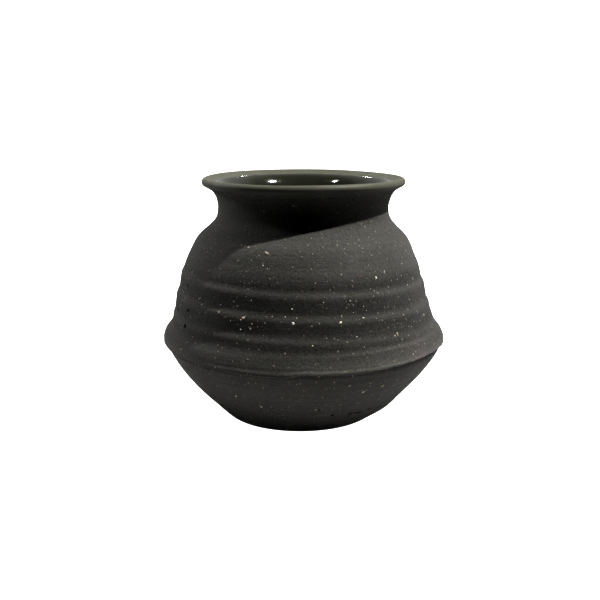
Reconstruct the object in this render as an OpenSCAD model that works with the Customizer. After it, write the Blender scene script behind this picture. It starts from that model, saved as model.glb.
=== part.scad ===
// Wheel-thrown stoneware vase: a trimmed lower bowl, a ridged belly, a short neck and a flared lip.
// The pot's axis is Z and its flat foot stands on z = 0. The clay sections meet in lap joints, and the
// glaze coats lie flush in the clay. All lengths are in millimetres and all angles in degrees.

/* [Overall] */
// Height from the foot to the top of the lip
height = 102.5; // [99:0.5:107]
// Largest diameter, at the ridge above the crease
belly_d = 120; // [116:1:126]

/* [Lower bowl] */
// Diameter of the flat foot
foot_d = 56; // [50:1:62]
// How far the rounded edge of the foot reaches past the flat
foot_edge_w = 5; // [3:0.5:6]
// How high the rounded edge of the foot rises
foot_edge_h = 2; // [1:0.5:3]
// How far the trimmed side swells out from a straight cone
bowl_swell = 3.4; // [1:0.2:4]
// Height of the crease where the lower bowl meets the upper wall
crease_z = 33; // [30:0.5:34]
// Radius of the lower bowl at the crease, short of the ridge
crease_inset = 1.2; // [1:0.2:2.6]
// Thickness of the floor
floor_t = 7; // [5:0.5:8]

/* [Upper wall] */
// Height of the ridge above the crease
ridge_h = 2.5; // [2:0.5:4]
// How far the upper wall hangs out over the lower bowl
ledge_w = 0.4; // [0.2:0.1:0.8]
// Spacing of the throwing rings
ring_pitch = 8.6; // [7:0.2:10]
// Half of the depth of a throwing ring
ring_depth = 0.4; // [0:0.1:0.6]

/* [Neck and lip] */
// Narrowest diameter of the neck
neck_d = 72; // [70:1:76]
// Height of the lip above the narrowest part of the neck
neck_h = 12.2; // [11:0.2:13]
// Diameter over the lip
lip_d = 85.2; // [84:0.4:89]
// Thickness of the rounded lip
lip_t = 3.4; // [3:0.2:4]

/* [Wall and glaze] */
// Thickness of the clay wall
wall_t = 4.4; // [4:0.2:5]
// Thickness of the glaze coats
glaze_t = 0.4; // [0.3:0.1:0.5]
// Height of a lap joint between two clay sections
lap_h = 3; // [2:0.5:3.5]

/* [Hidden] */

$fn = 180;
curve_steps = 6;
charcoal = [0.20, 0.20, 0.19];
warm_charcoal = [0.24, 0.235, 0.225];
gloss_black = [0.07, 0.075, 0.06];
satin_olive = [0.40, 0.40, 0.35];
pale_grit = [0.80, 0.74, 0.64];

belly_r = belly_d / 2;
foot_r = foot_d / 2;
neck_r = neck_d / 2;
neck_z = height - neck_h;
ridge_z = crease_z + ridge_h;
crease_r = belly_r - crease_inset;
joint_depth = wall_t / 2;
collar_z = neck_z - 4.5;

// The lip is a bead: an arc round this centre, from its underside over the top to the inside.
bead_r = lip_t / 2;
bead_at = [lip_d / 2 - bead_r, height - bead_r];
bead_start = -70;
bead_end = 128;

// The upper wall's outline: each pair is a share of the way from the neck's radius to the belly's, and
// a share of the way from the ridge's height to the neck's.
wall_shape = [
    [1.00, 0.00], [0.96, 0.05], [0.84, 0.12], [0.79, 0.20], [0.68, 0.40], [0.56, 0.58],
    [0.335, 0.76], [0.14, 0.855], [0.03, 0.92], [0.00, 1.00]
];

// Grains that show at the surface: the turn from the front towards +X, the height and the radius.
front_grains = [
    [-18, 77, 1.1], [-29, 78.5, 0.8], [-25, 53, 0.9], [-4, 52, 0.8], [15, 52, 0.9], [41, 45, 0.9],
    [35, 67, 0.7], [-31, 20, 0.9], [-20, 16, 0.7], [26, 23, 0.8], [35, 24.5, 0.8], [6, 15.5, 0.7]
];
// The grains on the sides and back are spread by the golden angle.
golden_angle = 137.5;
side_grain_count = 22;
side_grain_size = [0.7, 0.9, 0.8];
side_grains = [
    for (i = [0 : side_grain_count - 1])
        [60 + (i * golden_angle) % 240, grain_height(i), side_grain_size[i % 3]]
];

function mix(a, b, share) = a + (b - a) * share;

// Alternates between the trimmed bowl and the thrown wall, clear of the crease and the neck.
function grain_height(i) =
    i % 3 == 0 ? mix(12, crease_z - 5, i / side_grain_count)
               : mix(ridge_z + 6, neck_z - 12, ((i * 5) % side_grain_count) / side_grain_count);

// One point of a smooth curve between b and c, with a and d as the neighbours (Catmull-Rom).
function curve_point(a, b, c, d, t) =
    0.5 * (2 * b + (c - a) * t + (2 * a - 5 * b + 4 * c - d) * t * t
           + (3 * b - a - 3 * c + d) * t * t * t);

// A smooth curve through every station.
function curve_through(stations) =
    let (last = len(stations) - 1)
    concat(
        [
            for (i = [0 : last - 1], step = [0 : curve_steps - 1])
                curve_point(
                    stations[max(i - 1, 0)], stations[i], stations[i + 1],
                    stations[min(i + 2, last)], step / curve_steps)
        ],
        [stations[last]]);

// A circle's arc from one angle to another.
function arc(centre, radius, from, to, steps) =
    [
        for (i = [0 : steps])
            let (angle = mix(from, to, i / steps))
            centre + radius * [cos(angle), sin(angle)]
    ];

function reversed(line) = [for (i = [len(line) - 1 : -1 : 0]) line[i]];

function without_last(line) = [for (i = [0 : len(line) - 2]) line[i]];

// The line moved to the left of its direction of travel by a depth.
function moved_left(line, depth) =
    let (last = len(line) - 1)
    [
        for (i = [0 : last])
            let (along = line[min(i + 1, last)] - line[max(i - 1, 0)])
            line[i] + depth * [-along[1], along[0]] / norm(along)
    ];

// The radius of a rising line at a height.
function radius_at(line, z) = lookup(z, [for (p = line) [p[1], p[0]]]);

// The stretch of a rising line between two heights, with a point exactly at each end.
function between(line, low, high) =
    concat(
        [[radius_at(line, low), low]],
        [for (p = line) if (p[1] > low + 0.01 && p[1] < high - 0.01) p],
        [[radius_at(line, high), high]]);

// The trimmed side of the lower bowl, from the foot's edge to the crease.
function bowl_point(share) =
    [
        mix(foot_r + foot_edge_w, crease_r, share) + 4 * bowl_swell * share * (1 - share),
        mix(foot_edge_h, crease_z, share)
    ];
bowl_side = [for (i = [0 : 12]) bowl_point(i / 12)];

wall_stations = [for (s = wall_shape) [mix(neck_r, belly_r, s[0]), mix(ridge_z, neck_z, s[1])]];

// The flare from the neck to the underside of the bead, in shares like the wall's.
bead_underside = bead_at + bead_r * [cos(bead_start), sin(bead_start)];
flare_shape = [[0.07, 0.34], [0.19, 0.56], [0.45, 0.79], [0.71, 0.90], [1.00, 1.00]];
flare_stations = [
    for (s = flare_shape)
        [mix(neck_r, bead_underside[0], s[0]), mix(neck_z, bead_underside[1], s[1])]
];
smooth_wall = curve_through(concat(wall_stations, flare_stations));

// Throwing rings fade in above the ridge and fade out towards the shoulder.
ring_low = ridge_z + 5;
ring_high = mix(ridge_z, neck_z, 0.68);
function ring_share(z) = max(0, min(1, (z - ring_low) / 4, (ring_high - z) / 10));
function ring_wave(z) = ring_depth * ring_share(z) * cos(360 * (z - ring_low) / ring_pitch);
outer_wall = [for (p = smooth_wall) [p[0] + ring_wave(p[1]), p[1]]];

// The inside of the finished pot: a gently dished floor, the hollow belly, the throat and the flare.
finished_wall_t = wall_t + glaze_t;
bowl_inside = moved_left([for (share = [0.20, 0.45, 0.70]) bowl_point(share)], finished_wall_t);
wall_inside = moved_left(wall_stations, finished_wall_t);
throat_r = neck_r - finished_wall_t;
bead_inside = bead_at + bead_r * [cos(bead_end), sin(bead_end)];
glaze_line = curve_through(concat(
    [[0, floor_t], [foot_r * 0.45, floor_t + 0.1], [foot_r * 0.95, floor_t + 1.4]],
    bowl_inside,
    [[belly_r - finished_wall_t - 1.5, ridge_z]],
    [for (i = [3 : len(wall_inside) - 1]) wall_inside[i]],
    [
        for (s = [[0.16, 0.42], [0.50, 0.78]])
            [mix(throat_r, bead_inside[0], s[0]), mix(neck_z, bead_inside[1], s[1])]
    ],
    [bead_inside]));
glaze_back = moved_left(glaze_line, -glaze_t);
clay_line = concat([[0, floor_t - glaze_t]], [for (i = [1 : len(glaze_back) - 1]) glaze_back[i]]);

// The gloss lining ends and the satin rim begins a little below the bead's inner edge.
rim_start_z = mix(neck_z, bead_inside[1], 0.88);

// A solid of revolution from an outline in radius and height.
module thrown(outline) {
    rotate_extrude() polygon(outline);
}

module grain_balls() {
    for (g = concat(front_grains, side_grains)) {
        surface_r = g[1] < crease_z ? radius_at(bowl_side, g[1]) : radius_at(outer_wall, g[1]);
        rotate([0, 0, g[0] - 90])
            translate([surface_r - 0.7 * g[2], 0, g[1]])
                sphere(r = g[2], $fn = 32);
    }
}

module lower_bowl() {
    tongue_r = crease_r - joint_depth;
    lap_z = crease_z + lap_h;
    color(charcoal) difference() {
        thrown(concat(
            [[0, 0], [foot_r, 0]],
            [[foot_r + 0.6 * foot_edge_w, 0.3 * foot_edge_h]],
            bowl_side,
            [[tongue_r, crease_z], [tongue_r, lap_z]],
            reversed(between(clay_line, clay_line[0][1], lap_z))));
        grain_balls();
    }
}

module upper_wall() {
    tongue_r = crease_r - joint_depth;
    collar_tongue_r = radius_at(outer_wall, collar_z) - joint_depth;
    ledge_lip = [crease_r + ledge_w, crease_z + 0.4];
    ledge_middle = [mix(ledge_lip[0], belly_r, 0.6), mix(ledge_lip[1], ridge_z, 0.35)];
    ledge = curve_through([ledge_lip, ledge_middle, [belly_r, ridge_z]]);
    color(warm_charcoal) difference() {
        thrown(concat(
            [[tongue_r, crease_z], [crease_r, crease_z]],
            ledge,
            between(outer_wall, ridge_z + 0.5, collar_z),
            [[collar_tongue_r, collar_z], [collar_tongue_r, collar_z + lap_h]],
            reversed(between(clay_line, crease_z + lap_h, collar_z + lap_h)),
            [[tongue_r, crease_z + lap_h]]));
        grain_balls();
    }
}

module neck_collar() {
    tongue_r = radius_at(outer_wall, collar_z) - joint_depth;
    color(charcoal) thrown(concat(
        [[tongue_r, collar_z]],
        between(outer_wall, collar_z, bead_underside[1]),
        arc(bead_at, bead_r - glaze_t, bead_start, bead_end, 24),
        reversed(between(clay_line, collar_z + lap_h, bead_inside[1] - glaze_t)),
        [[tongue_r, collar_z + lap_h]]));
}

module interior_glaze() {
    color(gloss_black) thrown(concat(
        between(clay_line, clay_line[0][1], rim_start_z),
        reversed(between(glaze_line, glaze_line[0][1], rim_start_z))));
}

module rim_glaze() {
    color(satin_olive) thrown(concat(
        arc(bead_at, bead_r, bead_start, bead_end, 24),
        reversed(without_last(between(glaze_line, rim_start_z, bead_inside[1]))),
        between(clay_line, rim_start_z, bead_inside[1] - glaze_t),
        reversed(arc(bead_at, bead_r - glaze_t, bead_start, bead_end, 24))));
}

module grog_grains() {
    color(pale_grit) grain_balls();
}

lower_bowl();
upper_wall();
neck_collar();
interior_glaze();
rim_glaze();
grog_grains();
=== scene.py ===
# %% [markdown]
# # A wheel-thrown stoneware vase
# The vase is one pot made of a few clay sections: a trimmed lower bowl, a thrown upper wall that hangs
# over it in a ledge, and a neck collar that flares into a rounded lip. A black gloss glaze lines the
# inside, a satin olive glaze covers the lip, and grains of grog show through the dark clay. The CAD frame
# gives every section's place and size. Here each section gets its fine shape, the marks of the hand, and
# its finish.

# %% Load the frame
import math
import random

import bpy
import numpy as np
from mathutils import Matrix, Vector


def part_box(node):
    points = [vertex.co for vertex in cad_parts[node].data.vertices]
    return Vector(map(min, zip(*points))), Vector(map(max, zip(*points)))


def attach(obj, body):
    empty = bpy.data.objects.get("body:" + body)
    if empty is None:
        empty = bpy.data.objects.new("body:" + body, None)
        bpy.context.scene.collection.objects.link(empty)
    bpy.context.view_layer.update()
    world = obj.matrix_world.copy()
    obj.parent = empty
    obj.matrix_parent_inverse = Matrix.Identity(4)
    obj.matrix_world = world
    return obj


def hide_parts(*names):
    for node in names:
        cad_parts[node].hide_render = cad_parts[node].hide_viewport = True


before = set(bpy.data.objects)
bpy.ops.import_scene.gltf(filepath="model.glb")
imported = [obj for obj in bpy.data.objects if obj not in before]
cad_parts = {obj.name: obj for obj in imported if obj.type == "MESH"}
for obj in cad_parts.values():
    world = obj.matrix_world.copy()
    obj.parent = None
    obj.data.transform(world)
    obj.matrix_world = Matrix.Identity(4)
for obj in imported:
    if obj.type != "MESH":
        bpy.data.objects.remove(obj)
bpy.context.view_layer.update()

mm = 0.001
print("sections in the frame:", ", ".join(sorted(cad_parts)))

# %% Read the driving sizes off the frame, in millimetres
wall_low, wall_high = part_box("upper_wall")
bowl_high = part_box("lower_bowl")[1]
collar_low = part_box("neck_collar")[0]
rim_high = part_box("rim_glaze")[1]
floor_glaze_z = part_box("interior_glaze")[0].z / mm

height = rim_high.z / mm
lip_r = rim_high.x / mm
belly_r = wall_high.x / mm
crease_z = wall_low.z / mm
lap_h = bowl_high.z / mm - crease_z
collar_z = collar_low.z / mm
print(f"height {height:.1f}, lip radius {lip_r:.1f}")
print(f"belly radius {belly_r:.1f}, crease at {crease_z:.1f}")

# %% [markdown]
# ## The camera and the studio
# The vase stands in a plain white studio and is seen from a little above its lip. The camera comes first,
# so that every later choice can be judged in the same view.

# %% Place the camera
look_height = 49.3 * mm
camera_place = Vector((-1.23 * mm, -0.400, 0.1363))
camera_target = Vector((camera_place.x, 0, look_height))
bpy.ops.object.camera_add(
    location=camera_place,
    rotation=(camera_target - camera_place).to_track_quat("-Z", "Y").to_euler(),
)
camera = bpy.context.object
camera.data.sensor_width = 36
camera.data.lens = 56.66
camera.data.clip_start = 0.01
bpy.context.scene.camera = camera
print("camera at", [round(v, 4) for v in camera_place])


# %% [markdown]
# ### Lamps
# A lamp could be a point or a sun, but a round area lamp has a size, and its size sets how soft its
# shadow is. A small key lamp high on the right throws the lip's hard shadow across the shoulder. Wide,
# weaker lamps lift the left side, the top and the lower sides. The top lamp is hidden from gloss, because
# it would show as a wide white patch in the mouth. Three more lamps give no soft light and show only as
# glints in the glaze.

# %% A place round the vase
def deselect_all():
    for o in bpy.context.selected_objects:
        o.select_set(False)


def from_side(turn, rise, distance):
    """A place round the vase: turn is measured from the front towards +X, rise from the horizon."""
    t, e = math.radians(turn), math.radians(rise)
    flat = Vector((math.sin(t), -math.cos(t), 0)) * math.cos(e)
    return Vector((0, 0, look_height)) + distance * (flat + Vector((0, 0, math.sin(e))))


print("a place to the right of the vase:", from_side(90, 0, 1)[:])


# %% Hang the lamps
def hang_lamp(name, turn, rise, distance, size, watts):
    """A round lamp that looks at the vase. Its distance and size are in metres."""
    place = from_side(turn, rise, distance)
    aim = Vector((0, 0, look_height)) - place
    bpy.ops.object.light_add(
        type="AREA", location=place, rotation=aim.to_track_quat("-Z", "Y").to_euler()
    )
    lamp = bpy.context.object
    lamp.name = name
    lamp.data.shape = "DISK"
    lamp.data.size = size
    lamp.data.energy = watts
    lamp.visible_camera = False
    return lamp


hang_lamp("key_lamp", 71.5, 59, 1.6, 0.055, 35)
top_lamp = hang_lamp("top_lamp", 40, 84, 1.4, 0.25, 3.3)
top_lamp.visible_glossy = False
hang_lamp("left_lamp", -115, 26, 1.4, 0.2, 6)
for name, turn, rise, watts in (
    ("mouth_lamp", -71.5, 59, 4), ("left_glint", 166, 40, 0.4), ("right_glint", -166, 40, 0.8),
):
    glint = hang_lamp(name, turn, rise, 1.6, 0.045, watts)
    glint.visible_diffuse = False
for turn, watts in ((-95, 2.2), (98, 2.4)):
    hang_lamp("low_side_lamp", turn, -4, 1.4, 0.5, watts)

# %% [markdown]
# ### The room and the floor
# The room is the world's background. The camera sees it white all over. For light and reflections it is
# bright behind the vase, which edges its silhouette and shines in the glaze, and dark in front, which
# keeps the shadows deep. The floor is two sheets: a white one that only the camera sees, and a small pale
# one under the vase that the camera doesn't see, which throws a little light up onto the bowl.

# %% Build the white room
room_glow = 0.45
room_dark_at, room_bright_at = -0.1, 0.6
world = bpy.data.worlds.new("white_studio")
bpy.context.scene.world = world
world.use_nodes = True
sky_nodes, sky_links = world.node_tree.nodes, world.node_tree.links
seen_directly = sky_nodes.new("ShaderNodeLightPath")
direction = sky_nodes.new("ShaderNodeTexCoord")
depth = sky_nodes.new("ShaderNodeSeparateXYZ")
sky_links.new(direction.outputs["Generated"], depth.inputs["Vector"])
room_light = sky_nodes.new("ShaderNodeMapRange")
room_light.interpolation_type = "SMOOTHSTEP"
room_light.inputs["From Min"].default_value = room_dark_at
room_light.inputs["From Max"].default_value = room_bright_at
room_light.inputs["To Min"].default_value = 0.0
room_light.inputs["To Max"].default_value = room_glow
sky_links.new(depth.outputs["Y"], room_light.inputs["Value"])
brightest = sky_nodes.new("ShaderNodeMath")
brightest.operation = "MAXIMUM"
sky_links.new(seen_directly.outputs["Is Camera Ray"], brightest.inputs[0])
sky_links.new(room_light.outputs["Result"], brightest.inputs[1])
backdrop = sky_nodes["Background"]
backdrop.inputs["Color"].default_value = (1, 1, 1, 1)
sky_links.new(brightest.outputs["Value"], backdrop.inputs["Strength"])

look = bpy.context.scene.view_settings
look.view_transform = "Standard"
look.exposure = 0.6
look.gamma = 0.75
print(f"room light from 0 in front to {room_glow} behind")


# %% Lay the floor
def lay_sheet(name, radius, z):
    """A round flat sheet of the stage, in metres."""
    deselect_all()
    bpy.ops.mesh.primitive_circle_add(
        vertices=96, radius=radius, fill_type="NGON", location=(0, 0, z)
    )
    sheet = bpy.context.object
    sheet.name = name
    return sheet


floor = lay_sheet("pale_floor", 3, 0)
floor.visible_diffuse = floor.visible_glossy = floor.visible_shadow = False
bounce_sheet = lay_sheet("bounce_sheet", 0.105, -1 * mm)
bounce_sheet.visible_camera = False
print("sheets laid:", floor.name, "and", bounce_sheet.name)


# %% [markdown]
# ## Shader maths as plain expressions
# A finish mixes many patterns: mottling, brushed lines, specks. Wrapping a node's output in a small class
# lets a pattern be written as `1 - mask * 0.3`, and each expression adds its Math nodes. Every other node
# comes from one method, which takes the node's type, its settings and the values or links of its sockets.

# %% A reading
class Reading:
    """A node's output that can be used in an expression."""

    def __init__(self, finish, socket):
        self.finish, self.socket = finish, socket

    def maths(self, operation, *values):
        return self.finish.node("ShaderNodeMath", {"operation": operation}, *values)

    def __add__(self, other):
        return self.maths("ADD", self, other)

    def __radd__(self, other):
        return self.maths("ADD", other, self)

    def __sub__(self, other):
        return self.maths("SUBTRACT", self, other)

    def __rsub__(self, other):
        return self.maths("SUBTRACT", other, self)

    def __mul__(self, other):
        return self.maths("MULTIPLY", self, other)

    def __rmul__(self, other):
        return self.maths("MULTIPLY", other, self)

    def __truediv__(self, other):
        return self.maths("DIVIDE", self, other)

    def __lt__(self, other):
        return self.maths("LESS_THAN", self, other)

    def __gt__(self, other):
        return self.maths("GREATER_THAN", self, other)

    def within(self):
        """The value kept from 0 to 1."""
        return self.finish.node("ShaderNodeClamp", {}, self)


print("a reading takes part in maths with + - * / < and >")


# %% A finish
class Finish:
    """A material and the nodes that describe how it looks."""

    def __init__(self, name, roughness=0.8, **sockets):
        self.material = bpy.data.materials.new(name)
        self.material.use_nodes = True
        self.tree = self.material.node_tree
        self.shader = self.tree.nodes["Principled BSDF"]
        self.shader.inputs["Roughness"].default_value = roughness
        for socket, value in sockets.items():
            self.shader.inputs[socket.replace("_", " ")].default_value = value
        place = self.node("ShaderNodeTexCoord", {}, output="Object")
        self.place = self.node("ShaderNodeVectorMath", {"operation": "SCALE"}, place, Scale=1 / mm)

    def node(self, kind, settings, *values, output=0, **named):
        made = self.tree.nodes.new(kind)
        for key, value in settings.items():
            if key == "stops":
                stops = made.color_ramp.elements
                while len(stops) < len(value):
                    stops.new(1)
                for stop, (at, colour) in zip(stops, value):
                    stop.position, stop.color = at, (*colour, 1)
            else:
                setattr(made, key, value)
        for key, value in [*enumerate(values), *named.items()]:
            if isinstance(value, Reading):
                self.tree.links.new(value.socket, made.inputs[key])
            else:
                made.inputs[key].default_value = value
        return Reading(self, made.outputs[output])

    def stretched(self, across, up):
        """The place on the pot in millimetres, scaled across the wheel's plane and up its axis."""
        return self.node("ShaderNodeVectorMath", {"operation": "MULTIPLY"}, self.place, (across, across, up))

    def noise(self, place, scale, detail=2.0, rough=0.5):
        """Soft noise centred on 0, from about -1 to 1."""
        made = self.node("ShaderNodeTexNoise", {}, place, Scale=scale, Detail=detail, Roughness=rough)
        return (made - 0.5) * 3

    def blend(self, share, first, second):
        """The mix of two colours."""
        made = self.tree.nodes.new("ShaderNodeMix")
        made.data_type = "RGBA"
        for key, value in ((0, share), (6, first), (7, second)):
            if isinstance(value, Reading):
                self.tree.links.new(value.socket, made.inputs[key])
            else:
                made.inputs[key].default_value = value if key == 0 else (*value, 1)
        return Reading(self, made.outputs[2])

    def toned(self, colour, brightness):
        """A colour made lighter or darker by a value."""
        return self.node("ShaderNodeVectorMath", {"operation": "SCALE"}, colour, Scale=brightness)

    def feed(self, socket, reading):
        self.tree.links.new(reading.socket, self.shader.inputs[socket])

    def bump(self, relief, depth):
        """Raises the surface by a pattern. Depth is the height in millimetres of a change of 1."""
        made = self.node("ShaderNodeBump", {}, Height=relief, Distance=depth * mm, Strength=1.0)
        self.feed("Normal", made)


print("a finish places its patterns in millimetres,", 1 / mm, "to the metre")

# %% [markdown]
# ### The floor's finish
# The floor is a sheet of matte white card. A plain white card would show the lamps' shadows, so its own
# glow keeps them faint. The glow grows with the distance from the vase, and the floor melts into the
# backdrop. The sheet under the vase is matte and pale, and black under the foot: a painted shadow, which
# keeps the foot's edge dark.

# %% The floor's finish
card = Finish("white_card", roughness=0.9, Emission_Strength=1.0)
from_vase = card.node("ShaderNodeVectorMath", {"operation": "LENGTH"}, card.place, output="Value")
glow = (0.90 + from_vase * 0.0007).within()
card.feed("Base Color", card.toned((0.5, 0.5, 0.5), 1 + card.noise(card.place, 0.01) * 0.01))
card.feed("Emission Color", card.node("ShaderNodeCombineColor", {}, glow, glow, glow))
floor.data.materials.append(card.material)

# Painted shadow: the sheet is black out to this radius, under the foot.
painted_shadow_r = 46
bounce = Finish("bounce_card", roughness=0.9)
from_foot = bounce.node("ShaderNodeVectorMath", {"operation": "LENGTH"}, bounce.place, output="Value")
paleness_past_shadow = ((from_foot - painted_shadow_r) * 0.05).within()
bounce.feed("Base Color", bounce.toned((0.8, 0.8, 0.79), paleness_past_shadow))
bounce_sheet.data.materials.append(bounce.material)
print(f"the bounce sheet is black to {painted_shadow_r} mm from the middle")


# %% [markdown]
# ## The pot's outline
# A thrown pot is a solid of revolution, so one half-outline describes it. It could be drawn as a Bezier
# curve, but then every section would need its own. Here the outline is a smooth curve through a few
# stations, each a share of the way between two driving sizes, and the lip is an arc. All the sections
# share these lines, which is what keeps them flush where they meet.

# %% Curves for outlines
def mix(a, b, share):
    return a + (b - a) * share


def curve_through(stations, steps=12):
    """A smooth curve through every station (Catmull-Rom)."""
    p = np.array([stations[0], *stations, stations[-1]], float)
    t = np.linspace(0, 1, steps, endpoint=False)[:, None]
    line = [
        0.5 * (
            2 * b + (c - a) * t + (2 * a - 5 * b + 4 * c - d) * t**2 + (3 * b - a - 3 * c + d) * t**3
        )
        for a, b, c, d in zip(p, p[1:], p[2:], p[3:])
    ]
    return np.vstack([*line, p[-1:]])


def arc(centre, radius, start, stop, steps=20):
    """A circle's arc between two angles in degrees."""
    angle = np.radians(np.linspace(start, stop, steps + 1))
    return np.array(centre) + radius * np.column_stack([np.cos(angle), np.sin(angle)])


def moved_left(line, depth):
    """The line moved to the left of its direction of travel."""
    line = np.array(line, float)
    along = np.gradient(line, axis=0)
    along /= np.linalg.norm(along, axis=1, keepdims=True)
    return line + depth * np.column_stack([-along[:, 1], along[:, 0]])


def radius_at(line, z):
    """The radius of a rising line at a height."""
    return np.interp(z, line[:, 1], line[:, 0])


def between(line, low, high):
    """The stretch of a rising line between two heights."""
    inside = line[(line[:, 1] > low + 0.05) & (line[:, 1] < high - 0.05)]
    return np.vstack([[radius_at(line, low), low], inside, [radius_at(line, high), high]])


def spaced(line, gap):
    """The same line with its points about one gap apart."""
    line = np.array(line, float)
    run = np.concatenate([[0], np.cumsum(np.linalg.norm(np.diff(line, axis=0), axis=1))])
    at = np.linspace(0, run[-1], max(2, round(run[-1] / gap) + 1))
    return np.column_stack([np.interp(at, run, line[:, 0]), np.interp(at, run, line[:, 1])])


print("a quarter arc ends at", arc((0, 0), 1, 0, 90)[-1].round(3))

# %% Sizes of the vase, in millimetres
foot_r = 28
foot_edge_w = 5
foot_edge_h = 2
bowl_swell = 3.4
crease_r = belly_r - 1.2
ridge_z = crease_z + 2.5
neck_r = 36
neck_z = height - 12.2
lip_t = 3.4
glaze_t = 0.4
wall_t = 4.4 + glaze_t
joint_depth = 2.2
floor_t = floor_glaze_z + glaze_t
print(f"wall {wall_t - glaze_t:.1f} thick under {glaze_t} of glaze, floor {floor_t - glaze_t:.1f}")

# %% Stations of the outer wall and the lip
# Shares of the way from the neck's radius to the belly's, and from the ridge's height to the neck's.
wall_shape = [
    (1.00, 0.00), (0.96, 0.05), (0.84, 0.12), (0.79, 0.20), (0.68, 0.40), (0.56, 0.58),
    (0.335, 0.76), (0.14, 0.855), (0.03, 0.92), (0.00, 1.00),
]
flare_shape = [(0.07, 0.34), (0.19, 0.56), (0.45, 0.79), (0.71, 0.90), (1.00, 1.00)]

bead_r = lip_t / 2
bead_at = np.array([lip_r - bead_r, height - bead_r])
bead_start, bead_end = -70, 128
bead = arc(bead_at, bead_r, bead_start, bead_end)
bead_under, bead_inside = bead[0], bead[-1]
print("the lip is a bead from", bead_under.round(1), "over to", bead_inside.round(1))

# %% The outer and inner lines
def bowl_point(share):
    """A point of the trimmed side of the lower bowl, from the foot's edge to the crease."""
    swell = 4 * bowl_swell * share * (1 - share)
    return mix(foot_r + foot_edge_w, crease_r, share) + swell, mix(foot_edge_h, crease_z, share)


bowl_side = np.array([bowl_point(s) for s in np.linspace(0, 1, 60)])
wall_stations = [(mix(neck_r, belly_r, s), mix(ridge_z, neck_z, h)) for s, h in wall_shape]
flare_stations = [(mix(neck_r, bead_under[0], s), mix(neck_z, bead_under[1], h)) for s, h in flare_shape]
outer_wall = curve_through(wall_stations + flare_stations)

throat_r = neck_r - wall_t
wall_inside = moved_left(wall_stations, wall_t)
flare_inside = [
    (mix(throat_r, bead_inside[0], s), mix(neck_z, bead_inside[1], h))
    for s, h in ((0.16, 0.42), (0.50, 0.78))
]
glaze_line = curve_through([
    (0, floor_t), (foot_r * 0.45, floor_t + 0.1), (foot_r * 0.95, floor_t + 1.4),
    *moved_left([bowl_point(s) for s in (0.20, 0.45, 0.70)], wall_t),
    (belly_r - wall_t - 1.5, ridge_z),
    *wall_inside[3:],
    *flare_inside,
    bead_inside,
])
clay_line = moved_left(glaze_line, -glaze_t)
clay_line[0] = (0, floor_t - glaze_t)
rim_start_z = mix(neck_z, bead_inside[1], 0.88)
print(f"outer wall of {len(outer_wall)} points, inner line of {len(glaze_line)} points")


# %% [markdown]
# ## The marks of the hand
# No hand-thrown wall is a perfect curve. The fingers leave one rising spiral ridge round the belly, the
# crease wanders, and the whole wall leans and swells a little. A Displace modifier with a texture could
# do that, but a texture doesn't know the wheel's axis. Here the marks are one relief: how far each point
# moves outwards and upwards, from its turn round the pot and its height. Every section is moved by the
# same relief, full on the outer skin and fading towards the inside, so the joints stay closed.

# %% Shapes that the marks are made of
def ramp(value, start, stop):
    """Rises smoothly from 0 at start to 1 at stop."""
    t = np.clip((value - start) / (stop - start), 0, 1)
    return t * t * (3 - 2 * t)


def hump(value, centre, width):
    """A bell from 0 to 1 round a centre."""
    return np.exp(-(((value - centre) / width) ** 2))


def around(turn, centre):
    """The signed turn from a centre, in degrees from -180 to 180."""
    return (turn - centre + 180) % 360 - 180


print("half way up a ramp:", ramp(0.5, 0, 1), "and one width off a hump:", hump(1, 0, 1).round(2))

# %% Sizes of the marks, in millimetres
ring_pitch = 8.7
ring_depth = 0.27
ring_front_z = 53.4  # where a ring's short slope crosses the front
line_z, line_climb = 39.6, 0.012  # a raised line's height at the front, and its climb with each degree
rubbed_line_z = 39.8
lean = 0.46
front_fullness = 1.5
shoulder_fullness = 0.7
foot_shift = 1.3
overhang = 1.3
print(f"{(height - ring_front_z) / ring_pitch:.1f} turns of the spiral would fit above the front ring line")


# %% The relief of the finished pot
def spiral(turn, z):
    """The throwing spiral, from -1 to 1: a short slope that faces up over a long one that faces down."""
    phase = 2 * np.pi * ((z - ring_front_z) / ring_pitch + turn / 360)
    return -np.sin(phase + 0.55 * np.sin(phase))


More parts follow.
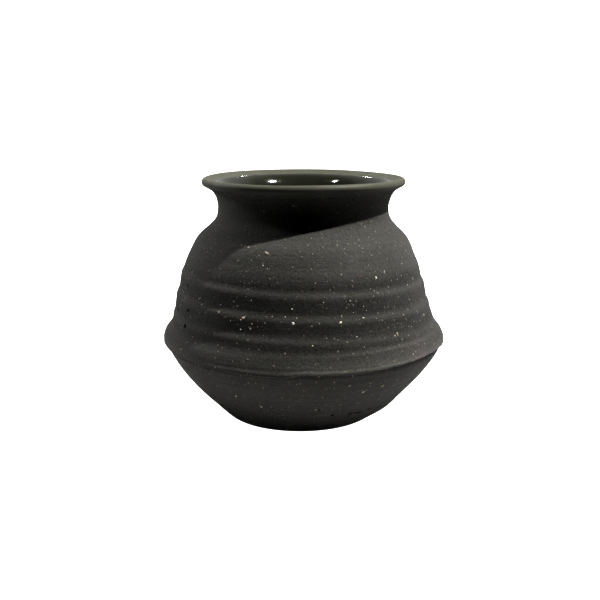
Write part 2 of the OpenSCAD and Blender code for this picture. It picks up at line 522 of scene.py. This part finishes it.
def relief(turn, z):
    """Millimetres outwards and upwards at a turn in degrees from the front towards +X, and a height."""
    a = np.radians(turn)

    # The spiral ends above the ledge and fades over the shoulder. A raised line crosses the front below it.
    spiral_share = ramp(z, 41, 50) * (1 - 0.8 * ramp(z, 62, 68)) * (1 - ramp(z, 70, 78))
    out = ring_depth * spiral_share * spiral(turn, z)
    out = out + 0.26 * hump(z, line_z + line_climb * turn, 0.7) * hump(around(turn, 35), 0, 38)

    # The front is fuller above the ledge, the wall leans, and the foot sits a little to one side.
    fuller = ramp(z, 37.3, 43) * (1 - 0.5 * ramp(z, 44, 48) - 0.5 * ramp(z, 48, 70))
    out = out + front_fullness * fuller * hump(around(turn, 5), 0, 66)
    out = out - lean * np.sin(a) * ramp(z, 43, 50) * (1 - ramp(z, 78, 88))
    out = out - foot_shift * np.sin(a) * (1 - ramp(z, 0, 9))

    # The right side is fuller above the foot, under the crease and at the lip.
    out = out + (1.2 * hump(z, 5.5, 3.5) + 0.9 * hump(z, 30, 10)) * hump(around(turn, 90), 0, 40)
    out = out + 0.5 * ramp(z, 88, 96) * hump(around(turn, 90), 0, 50)

    # The shoulder swells, and the ledge hangs over the crease at the front.
    out = out + shoulder_fullness * hump(z, 77, 5)
    out = out + overhang * hump(z, crease_z + 0.5, 1.0) * hump(around(turn, -2), 0, 76)

    # The whole wall waves, with one dent low on the right, and trimming lines ring the bowl.
    swell = 0.13 * np.sin(3 * a + z / 9) + 0.09 * np.sin(5 * a - z / 6 + 2) + 0.05 * np.sin(9 * a + z / 4)
    out = out + swell * ramp(z, 4, 12) * (1 - 0.5 * ramp(z, 84, 92))
    out = out - 0.45 * hump(z, 15, 2.6) * hump(around(turn, 88), 0, 26)
    trimming = 0.03 * np.sin(z * 2.1 + turn / 57) + 0.02 * np.sin(z * 3.7 - turn / 40)
    out = out + trimming * ramp(z, 4, 8) * (1 - ramp(z, crease_z - 2, crease_z))

    # The crease wanders, dips left of the front with a kink beside it, and the lip isn't quite level.
    wander = 0.12 * np.sin(7 * a + 1) + 0.10 * np.sin(13 * a)
    wander = wander + 0.07 * np.sin(31 * a + 2) + 0.05 * np.sin(53 * a)
    wander = wander - 0.9 * hump(around(turn, -14), 0, 16) + 0.6 * hump(around(turn, 0), 0, 4)
    wander = wander - 0.3 * hump(around(turn, 18), 0, 12) + 0.6 * hump(around(turn, 58), 0, 22)
    up = wander * hump(z, crease_z, 1.6)
    up = up + 0.12 * np.sin(2 * a + 0.6) * ramp(z, 88, 98) + 0.05 * np.sin(5 * a) * ramp(z, 94, 100)
    return out, up


below_ring = relief(0.0, ring_front_z - 1.5)[0]
print("relief below a front ring line:", round(float(below_ring), 2), "mm")


# %% Worn places, painted light and painted shade
wear_shade_low, wear_shade_high = -1.6, 1.7


def wear_and_painted_light(turn, z):
    """Above 0 where the clay is worn pale and where a highlight is painted, below 0 where it is darker,
    mostly with painted shade.
    """
    # The ridges of the spiral are worn pale, and its grooves are darkened with painted shade.
    phase = (z - ring_front_z) / ring_pitch + turn / 360
    crest = (0.5 + 0.5 * np.cos(2 * np.pi * phase)) ** 3
    rings = (1.2 * crest - 1.0) * ramp(z, 40, 44) * (1 - ramp(z, 63, 71))

    # The ledge's brink is worn pale, with a painted highlight right of the front, and the crease under it is
    # darkened with painted shade.
    brink = 0.8 * hump(z, crease_z + 1.8, 2.0) * (1 + 1.3 * hump(around(turn, 34), 0, 36))
    brink = brink - 1.6 * hump(z, crease_z - 0.2, 0.6)
    line = 0.8 * hump(z, rubbed_line_z + line_climb * turn, 0.55) * hump(around(turn, 35), 0, 40)

    # The shoulder is paler and the belly a little darker; the terms after them are painted shade and a
    # painted highlight.
    shoulder = 0.35 * ramp(z, 66, 76) * (1 - ramp(z, 84, 88))
    shoulder = shoulder - 0.2 * ramp(z, 40, 46) * (1 - ramp(z, 62, 70))
    # Painted shade: a band low on the front of the belly.
    shoulder = shoulder - 0.7 * hump(z, 42, 3.2) * hump(around(turn, -5), 0, 60)
    # Painted highlight: a patch on the shoulder right of the front.
    shoulder = shoulder + 0.45 * hump(z, 72, 4.5) * hump(around(turn, 24), 0, 16)
    # Painted shadow: the foot's edge all round, deepest left of the front.
    foot = -1.3 * (1 - ramp(z, 2.5, 6)) - 0.9 * (1 - ramp(z, 4, 12)) * hump(around(turn, -40), 0, 50)
    return np.clip(rings + brink + line + shoulder + foot, wear_shade_low, wear_shade_high)


print("wear on the front of the crease:", round(float(wear_and_painted_light(0.0, crease_z)), 2))


# %% Moving a section by the relief
def points_of(piece):
    """Every point of a piece's mesh, in metres."""
    found = np.empty(len(piece.data.vertices) * 3)
    piece.data.vertices.foreach_get("co", found)
    return found.reshape(-1, 3)


def skin_share(r, z):
    """1 on the outer skin, 0 on the inner glaze, and in between inside the wall."""
    inner = radius_at(glaze_line, z)
    outer = np.where(z < ridge_z, radius_at(bowl_side, z), radius_at(outer_wall, z))
    share = np.clip((r - inner) / np.maximum(outer - inner, 1), 0, 1)
    return np.maximum(share, ramp(z, neck_z, neck_z + 6))


def apply_relief(piece):
    """Moves every point of a turned section by the relief, and stores its worn paleness and painted light
    and shade on its points.
    """
    places = points_of(piece) / mm
    r, z = np.hypot(places[:, 0], places[:, 1]), places[:, 2]
    turn = np.degrees(np.arctan2(places[:, 0], -places[:, 1]))
    out, up = relief(turn, z)
    share = skin_share(r, z)
    grow = 1 + out * share / np.maximum(r, 1)
    places[:, 0] *= grow
    places[:, 1] *= grow
    places[:, 2] += up * share
    piece.data.vertices.foreach_set("co", (places * mm).ravel())
    piece.data.update()
    # The attribute holds the worn paleness together with the painted shade and painted highlights, on the
    # outer skin only.
    rubbed = piece.data.attributes.new("rubbed", "FLOAT", "POINT")
    rubbed.data.foreach_set("value", (wear_and_painted_light(turn, z) * ramp(share, 0.8, 0.95)).astype(np.float32))


print("share at the neck's outside and inside:", skin_share(np.array([neck_r, throat_r]), neck_z))

# %% [markdown]
# ## Turning a section
# A solid of revolution could be a Screw modifier on a curve or a mesh that is spun. Spin is used because
# it is the wheel itself. The section's outline starts as a circle with one vertex for each point of the
# outline, each vertex is set in its place, and the ring is spun round the axis. The seam and the points
# on the axis are then merged, so that each section is a closed solid.

# %% The wheel
fine, coarse = 0.55, 2.6  # millimetres between an outline's points, outside and inside
round_steps = 600
hair = 0.01  # points nearer than this are one, and points nearer to the axis are on it


def use_only(piece):
    deselect_all()
    piece.select_set(True)
    bpy.context.view_layer.objects.active = piece


def turned(name, outline, steps):
    """A closed solid spun from a closed outline of radius and height in millimetres."""
    apart = np.linalg.norm(np.diff(outline, axis=0), axis=1) > hair
    outline = outline[np.concatenate([[True], apart])]
    deselect_all()
    bpy.ops.mesh.primitive_circle_add(vertices=len(outline), radius=belly_r * mm, location=(0, 0, 0))
    piece = bpy.context.object
    piece.name = piece.data.name = name
    ring = piece.data.vertices
    for v, (r, z) in zip(ring, outline):
        v.co = (r * mm, 0, z * mm)
        v.select = bool(r < hair)
    for edge in piece.data.edges:
        edge.select = all(ring[i].select for i in edge.vertices)
    bpy.ops.object.mode_set(mode="EDIT")
    bpy.ops.mesh.select_mode(type="VERT")
    bpy.ops.mesh.delete(type="EDGE_FACE")  # an edge that lies on the axis would spin into nothing
    bpy.ops.mesh.select_all(action="SELECT")
    bpy.ops.mesh.spin(steps=steps, angle=2 * math.pi, center=(0, 0, 0), axis=(0, 0, 1))
    bpy.ops.mesh.select_all(action="SELECT")
    bpy.ops.mesh.remove_doubles(threshold=0.002 * mm)
    bpy.ops.mesh.normals_make_consistent(inside=False)
    bpy.ops.object.mode_set(mode="OBJECT")
    apply_relief(piece)
    print(f"{name}: {len(piece.data.polygons)} faces")
    return piece


def smoothed(piece, angle=38):
    """Shades a section smooth, and keeps the edges that are sharper than the angle."""
    use_only(piece)
    bpy.ops.object.shade_smooth_by_angle(angle=math.radians(angle))


print(f"the wheel turns in {round_steps} steps, with a point every {fine} mm on the outside")

# %% [markdown]
# ## The lower bowl
# The lower bowl is trimmed on the wheel when the clay is leather hard: a flat foot with a rounded edge, a
# side that swells a little, and a tongue at the top that the upper wall sits on. A cone cut off at the
# foot would lack the swell, so the side is its own curve. Just under the crease it is drawn in by a hair,
# where the potter's tool undercut the ledge, so that a fine dark line shows there.

# %% Turn the lower bowl
tongue_r = crease_r - joint_depth
lap_z = crease_z + lap_h

foot = [
    (0, 0.25), (foot_r - 9, 0.25), (foot_r - 8, 0), (foot_r, 0),
    (foot_r + 0.6 * foot_edge_w, 0.3 * foot_edge_h),
]
foot_edge = curve_through([foot[3], foot[4], tuple(bowl_side[0])], 6)
undercut = bowl_side[bowl_side[:, 1] < crease_z - 1.1]
drawn_in = curve_through([
    tuple(undercut[-1]), (crease_r - 0.8, crease_z - 0.4), (crease_r - 1.0, crease_z),
], 4)
lower_bowl_clay = turned("lower_bowl_clay", np.vstack([
    spaced(foot[:2], coarse), spaced(foot[1:3], 0.5), spaced(foot[2:4], coarse),
    spaced(foot_edge, fine), spaced(undercut, fine), spaced(drawn_in, 0.3),
    [(tongue_r, crease_z), (tongue_r, lap_z)],
    spaced(between(clay_line, floor_t - glaze_t, lap_z), coarse)[::-1],
]), round_steps)

# %% [markdown]
# ## The upper wall
# The upper wall is thrown: it starts as a soft ledge over the bowl, turns in above the ridge, carries the
# throwing spiral, and closes over the shoulder up to the collar. It could be one solid with the bowl, but
# the crease is a real joint, so the wall is a section of its own with a lap that fits the bowl's tongue.

# %% Turn the upper wall
collar_tongue_r = float(radius_at(outer_wall, collar_z)) - joint_depth
ledge_lip = curve_through([
    (crease_r - 0.35, crease_z + 0.02), (crease_r + 0.25, crease_z + 0.1), (crease_r + 0.6, crease_z + 0.55),
    (belly_r - 0.22, crease_z + 1.3), (belly_r, ridge_z),
], 8)
upper_wall_clay = turned("upper_wall_clay", np.vstack([
    [(tongue_r, crease_z)],
    spaced(ledge_lip, 0.4),
    spaced(between(outer_wall, ridge_z + 0.4, collar_z), fine),
    [(collar_tongue_r, collar_z), (collar_tongue_r, collar_z + lap_h)],
    spaced(between(clay_line, lap_z, collar_z + lap_h), coarse)[::-1],
    [(tongue_r, lap_z)],
]), round_steps)

# %% [markdown]
# ## The neck collar and the two glazes
# The collar is a short waist that flares into the lip. The satin glaze wraps the lip as a thin coat, and
# the gloss glaze lines everything below it. A glaze could be just a finish on the clay's faces. Both
# coats are real shells here, so that each has its own edge and thickness.

# %% Turn the neck collar
clay_bead = arc(bead_at, bead_r - glaze_t, bead_start, bead_end)
neck_collar_clay = turned("neck_collar_clay", np.vstack([
    [(collar_tongue_r, collar_z)],
    spaced(between(outer_wall, collar_z, bead_under[1]), 0.4),
    spaced(clay_bead, 0.5),
    spaced(between(clay_line, collar_z + lap_h, bead_inside[1] - glaze_t), 1.2)[::-1],
    [(collar_tongue_r, collar_z + lap_h)],
]), round_steps)

# %% Turn the glaze coats
rim_glaze_coat = turned("rim_glaze_coat", np.vstack([
    spaced(bead, 0.25),
    between(glaze_line, rim_start_z, bead_inside[1])[::-1],
    between(clay_line, rim_start_z, bead_inside[1] - glaze_t),
    spaced(clay_bead, 0.5)[::-1],
]), round_steps)
lining_steps = 400
interior_glaze_coat = turned("interior_glaze_coat", np.vstack([
    spaced(between(clay_line, floor_t - glaze_t, rim_start_z), coarse),
    spaced(between(glaze_line, floor_t, rim_start_z), 0.8)[::-1],
]), lining_steps)

for section in (lower_bowl_clay, upper_wall_clay, neck_collar_clay, rim_glaze_coat, interior_glaze_coat):
    smoothed(section)


# %% [markdown]
# ## Pinholes
# Where a scrap burnt out of the clay it left a pinhole, and on the lower bowl a dragged grain left a
# short scratch. A pinhole in the material alone would vanish from the mesh, so each is cut: a squashed
# ball is set in the surface, and one Boolean takes all of them out of the clay.

# %% Where a mark sits on the finished surface
def skin_radius(turn, z):
    """The finished outside's radius at a turn and a height, in millimetres."""
    smooth = radius_at(bowl_side, z) if z < crease_z else radius_at(outer_wall, z)
    return float(smooth + relief(turn, z)[0])


def skin_frame(turn, z):
    """A matrix that puts something on the skin: X along the turn, Y up the wall, Z outwards."""
    a = math.radians(turn)
    low, high = skin_radius(turn, z - 0.4), skin_radius(turn, z + 0.4)
    round_dir = Vector((math.cos(a), math.sin(a), 0))
    out_flat = Vector((math.sin(a), -math.cos(a), 0))
    up_wall = (out_flat * (high - low) + Vector((0, 0, 0.8))).normalized()
    outward = round_dir.cross(up_wall).normalized()
    place = (out_flat * skin_radius(turn, z) + Vector((0, 0, z))) * mm
    turned_axes = Matrix((round_dir, up_wall, outward)).transposed().to_4x4()
    return Matrix.Translation(place) @ turned_axes


print("the skin's radius at the front of the ridge:", round(skin_radius(0, ridge_z), 2), "mm")


# %% Balls to press in
def model_ball(divisions):
    """A ball of 1 mm across, out of the render, to be copied."""
    deselect_all()
    bpy.ops.mesh.primitive_ico_sphere_add(
        subdivisions=divisions, radius=0.5 * mm, location=(0, 0, 0)
    )
    ball = bpy.context.object
    bpy.ops.object.shade_smooth()
    ball.hide_render = True
    return ball


model_balls = {divisions: model_ball(divisions) for divisions in (1, 2)}


def pressed_ball(turn, z, size, tilt=0.0, divisions=2, sunk=0.0):
    """A copy of the ball, squashed to a width, height and depth in millimetres and set in the skin."""
    ball = model_balls[divisions].copy()
    ball.data = ball.data.copy()
    ball.hide_render = False
    bpy.context.collection.objects.link(ball)
    squashed = Matrix.Translation((0, 0, -sunk * mm)) @ Matrix.Rotation(math.radians(tilt), 4, "Z")
    ball.data.transform(skin_frame(turn, z) @ squashed @ Matrix.Diagonal((*size, 1)))
    return ball


def joined(pieces, name):
    deselect_all()
    for piece in pieces:
        piece.select_set(True)
    bpy.context.view_layer.objects.active = pieces[0]
    if len(pieces) > 1:
        bpy.ops.object.join()
    pieces[0].name = pieces[0].data.name = name
    return pieces[0]


print("faces of a small and a larger ball:", [len(ball.data.polygons) for ball in model_balls.values()])

# %% Cut the pinholes
# Painted shade for the pits' walls, darker than anything else on the clay.
pit_painted_shade = -2.1


def cut_from(clay, pits):
    """Takes the pits out of a clay section. Their walls are darkened with painted shade in the finish."""
    cutter = joined(pits, "pit_cutter")
    pit_shade = cutter.data.attributes.new("rubbed", "FLOAT", "POINT")
    pit_shade.data.foreach_set("value", [pit_painted_shade] * len(cutter.data.vertices))
    use_only(clay)
    bite = clay.modifiers.new("pits", "BOOLEAN")
    bite.operation, bite.solver, bite.object = "DIFFERENCE", "MANIFOLD", cutter
    bpy.ops.object.modifier_apply(modifier=bite.name)
    bpy.data.objects.remove(cutter)
    smoothed(clay)
    # Points that carry the pits' painted shade.
    shaded = sum(v.value < wear_shade_low - 0.1 for v in clay.data.attributes["rubbed"].data)
    print(f"{clay.name}: {len(pits)} pits cut with {shaded} sooty points, {len(clay.data.polygons)} faces")


# Each pit is its turn, its height, and its width, height and depth in millimetres.
wall_pits = [
    (-64.5, 60.4, (1.4, 1.6, 3.2)), (-69.6, 49.6, (1.5, 1.5, 3.2)), (-57.9, 51.4, (1.5, 1.7, 3.6)),
    (-57.8, 45.0, (1.9, 1.9, 3.8)), (132, 58, (1.2, 1.3, 2.6)), (205, 47, (1.3, 1.4, 2.8)),
]
bowl_pits = [
    (37.4, 11.7, (1.8, 1.7, 3.6)), (7.7, 15.3, (1.3, 1.3, 3.0)), (15.4, 11.5, (1.5, 1.5, 3.2)),
    (26.5, 11.0, (3.4, 1.9, 3.8)), (30.0, 10.9, (5.2, 1.6, 3.6)), (150, 21, (1.5, 1.5, 3.0)),
]
cut_from(upper_wall_clay, [pressed_ball(*pit) for pit in wall_pits])
cut_from(lower_bowl_clay, [pressed_ball(*pit) for pit in bowl_pits])

# %% [markdown]
# ## Grog
# Grog is crushed fired clay, kneaded into the body so that it dries evenly. Its pale grains show as
# specks. A particle system could scatter them, but the largest ones lie where the frame has them, so each
# is a ball that is copied, squashed and set in the skin. The small ones are one ball of few faces,
# scattered with a fixed seed. Each grain carries a tone that its finish reads: brown, tan, cream or white,
# and one rust red.

# %% Large grains
golden_angle = 137.5
side_grain_count = 22


def grain_height(i):
    """The height of one of the grains at the sides and back: every third is on the bowl."""
    if i % 3 == 0:
        return mix(12, crease_z - 5, i / side_grain_count)
    return mix(ridge_z + 6, neck_z - 12, ((i * 5) % side_grain_count) / side_grain_count)


def side_grain(i):
    """The turn, height, width, height along the wall, tilt and tone of a grain at the sides or back."""
    width, rise = (1.1, 1.5, 1.3)[i % 3], (1.2, 0.9, 1.0)[i % 3]
    return 60 + (i * golden_angle) % 240, grain_height(i), width, rise, 37 * i, (i * 0.29) % 0.9


# Each grain is its turn, height, width, height along the wall, tilt and tone.
front_grains = [
    (-18, 77, 2.5, 1.0, -35, 0.30), (-29, 78.5, 1.2, 1.3, 20, 0.18), (-25, 53, 1.9, 1.1, 10, 0.45),
    (-4, 52, 1.3, 1.4, 0, 0.85), (15, 52, 1.5, 1.1, 40, 0.55), (41, 45, 0.9, 1.9, 10, 0.20),
    (35, 67, 0.9, 1.2, 30, 0.75), (-31, 20, 1.0, 1.3, -15, 0.50), (-20, 16, 1.4, 0.9, -15, 0.60),
    (26, 23, 1.5, 0.9, 5, 0.50), (35, 24.5, 1.8, 0.7, 35, 0.35), (6, 15.5, 1.2, 0.8, -10, 0.30),
]
side_grains = [side_grain(i) for i in range(side_grain_count)]
print(f"{len(front_grains)} grains in front and {len(side_grains)} round the sides and back")

# %% Set the large grains
chance = random.Random(41)


def grain(turn, z, width, rise, tilt, tone, divisions):
    """One grain: an uneven lump half sunk in the skin, with its tone stored on its points."""
    thick = 0.5 * min(width, rise)
    lump = pressed_ball(turn, z, (width, rise, thick), tilt, divisions, sunk=0.25 * thick)
    middle = skin_frame(turn, z).translation
    for v in lump.data.vertices:
        v.co = middle + (v.co - middle) * chance.uniform(0.82, 1.12)
    tones = lump.data.attributes.new("tone", "FLOAT", "POINT")
    tones.data.foreach_set("value", [tone] * len(lump.data.vertices))
    return lump


large_grains = [grain(*g, divisions=2) for g in front_grains + side_grains]
print(f"{len(large_grains)} large grains")

# %% Small grains
small_grain_count = 620


def scattered_grain():
    """A small grain at a random place. Two in three lie on the belly and the shoulder."""
    z = chance.choice((chance.uniform(5, 90), chance.triangular(36, 80, 56), chance.triangular(36, 80, 56)))
    size = 0.25 + 0.7 * chance.random() ** 3.5
    return grain(
        chance.uniform(-180, 180), z, size * chance.uniform(0.9, 1.5), size, chance.uniform(0, 180),
        chance.random() * 0.92, divisions=1,
    )


small_grains = [scattered_grain() for _ in range(small_grain_count)]
# Three small grains have their own place: a white one on the neck, the rust red one and a brown one.
marked_grains = [
    grain(-6, 94.3, 0.75, 0.75, 0, 0.9, divisions=1),
    grain(27, 68.2, 0.8, 0.6, 0, 1.0, divisions=1),
    grain(6.5, 72.7, 1.0, 0.9, 20, 0.0, divisions=1),
]
grog_flecks = joined(large_grains + small_grains + marked_grains, "grog_flecks")
for ball in model_balls.values():
    bpy.data.objects.remove(ball)
print(f"grog_flecks: {len(grog_flecks.data.polygons)} faces")

# %% [markdown]
# ## Finishes
# ### Unglazed clay
# The clay is a dark, dry stoneware. Up close it isn't one grey: the body is mottled warm and purplish,
# the wheel has drawn fine level lines round it, sand makes it grainy, and tiny specks of grog and dark
# pores are dusted all over. Each of these is one pattern on the clay's own millimetres, and they add up
# in one expression. The relief's attribute makes the ridges worn pale, paints shade into the grooves,
# the crease, the pits and the foot, and paints a highlight on the shoulder and right of the front on the
# ledge's brink. The specks are the middles of Voronoi cells, and each cell's random colour decides if it
# has a speck, a pore or nothing.

# %% Unglazed clay
speck_scale = 0.7  # Voronoi cells to the millimetre
speck_r, pore_r = 0.25, 0.22
speck_colour = (0.33, 0.30, 0.22)
pore_from = 0.84


def clay_finish(name, dark, light, line_depth, speck_share):
    """The clay's finish between a dark and a light colour, with brushed lines of a depth in millimetres."""
    clay = Finish(name, roughness=0.85, Specular_IOR_Level=0.32, Sheen_Weight=0.12, Sheen_Roughness=0.5)
    mottle = clay.noise(clay.place, 0.045, 3)
    tint = clay.noise(clay.place, 0.075, 2)
    lines = clay.noise(clay.stretched(0.035, 1.6), 1.0, 4, 0.6)
    sand = clay.noise(clay.place, 2.6, 2, 0.6)
    dust = clay.noise(clay.place, 0.9, 3, 0.6)

    body = clay.blend((0.5 + mottle * 0.35).within(), dark, light)
    purple = tuple(c * k for c, k in zip(light, (1.06, 0.92, 1.04)))
    body = clay.blend((tint * 0.9).within() * 0.8, body, purple)
    # Worn paleness, painted shade and painted highlights from the relief lighten or darken the body.
    rubbed = clay.node("ShaderNodeAttribute", {"attribute_name": "rubbed"}, output="Fac")
    body = clay.toned(body, 1 + rubbed * 0.40 + lines * 0.20 + sand * 0.36 + dust * 0.34 + tint * 0.10)

    cells = {"feature": "F1"}
    from_cell = clay.node("ShaderNodeTexVoronoi", cells, clay.place, Scale=speck_scale)
    cell_colour = clay.node("ShaderNodeTexVoronoi", cells, clay.place, Scale=speck_scale, output="Color")
    draw = clay.node("ShaderNodeSeparateColor", {}, cell_colour)
    speck = ((speck_r - from_cell) * 14).within() * (draw < speck_share) * (draw / speck_share)
    body = clay.blend(speck * 0.8, body, speck_colour)
    pore = ((pore_r - from_cell) * 14).within() * (pore_from < draw)
    body = clay.toned(body, 1 - pore * 0.75)
    clay.feed("Base Color", body)
    clay.feed("Roughness", (0.84 + mottle * 0.05 - speck * 0.2).within())
    clay.bump(lines * line_depth + sand * 0.05 + dust * 0.10 - pore * 0.15, 1.0)
    return clay.material


trimmed_clay = clay_finish("trimmed_clay", (0.043, 0.042, 0.038), (0.062, 0.060, 0.054), 0.026, 0.28)
thrown_clay = clay_finish("thrown_clay", (0.046, 0.0452, 0.040), (0.067, 0.0655, 0.0575), 0.036, 0.26)
print("clay finishes:", trimmed_clay.name, "and", thrown_clay.name)

# %% [markdown]
# ### Glazes
# The lining is a poured black gloss: glassy, a little olive, with slow waves that bend its reflections. A
# coat over a smooth base gives its wet shine. The lip's glaze is thin and satin, so it is rougher and has
# no coat, and it breaks to a lighter olive where it runs thin.

# %% Glazes
gloss = Finish("black_gloss_glaze", roughness=0.10, Coat_Weight=0.6, Coat_Roughness=0.04)
pool = gloss.noise(gloss.place, 0.06, 2)
glass = gloss.blend((0.5 + pool * 0.3).within(), (0.020, 0.021, 0.014), (0.038, 0.040, 0.027))
gloss.feed("Base Color", glass)
gloss.bump(pool * 0.25 + gloss.noise(gloss.place, 0.35, 1) * 0.03, 1.0)

satin = Finish("satin_olive_glaze", roughness=0.5, Specular_IOR_Level=0.2)
thin = satin.noise(satin.place, 0.12, 3)
grit = satin.noise(satin.place, 2.2, 2)
satin_body = satin.blend((0.5 + thin * 0.35).within(), (0.080, 0.081, 0.058), (0.110, 0.111, 0.086))
satin.feed("Base Color", satin.toned(satin_body, 1 + grit * 0.10))
satin.feed("Roughness", (0.50 + thin * 0.06 + grit * 0.04).within())
satin.bump(grit * 0.02 + thin * 0.05, 1.0)
print("glazes:", gloss.material.name, "and", satin.material.name)

# %% [markdown]
# ### Grit
# The grains are matte and pale. Each has one tone on all its points, and a ramp turns that tone into a
# colour, so that a single finish serves hundreds of grains.

# %% Grit
pale_grit = Finish("pale_grit", roughness=0.7)
tone = pale_grit.node("ShaderNodeAttribute", {"attribute_name": "tone"}, output="Fac")
grit_colours = pale_grit.node("ShaderNodeValToRGB", {"stops": [
    (0.0, (0.13, 0.095, 0.065)), (0.25, (0.36, 0.30, 0.225)), (0.5, (0.60, 0.52, 0.40)),
    (0.75, (0.68, 0.65, 0.56)), (0.93, (0.78, 0.76, 0.70)), (1.0, (0.45, 0.05, 0.04)),
]}, tone)
pale_grit.feed("Base Color", pale_grit.toned(grit_colours, 1 + pale_grit.noise(pale_grit.place, 3, 2) * 0.2))
print("colours of grit:", len(grit_colours.socket.node.color_ramp.elements))

# %% [markdown]
# ## Handing the pieces over
# Each piece takes its finish, rides on the pot's one body, and stands for its CAD section. A pot has no
# moving parts, so everything rides on the root.

# %% Finish and mount every piece
pieces = [
    (lower_bowl_clay, trimmed_clay, "lower_bowl", "trimmed_clay"),
    (upper_wall_clay, thrown_clay, "upper_wall", "thrown_clay"),
    (neck_collar_clay, thrown_clay, "neck_collar", "thrown_clay"),
    (interior_glaze_coat, gloss.material, "interior_glaze", "gloss_glaze"),
    (rim_glaze_coat, satin.material, "rim_glaze", "satin_glaze"),
    (grog_flecks, pale_grit.material, "grog_grains", "grit"),
]
for piece, finish, node, slot in pieces:
    piece.data.materials.clear()
    piece.data.materials.append(finish)
    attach(piece, "root")
    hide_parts(node)
    print(f"{piece.name} stands for {node} in {finish.name}")
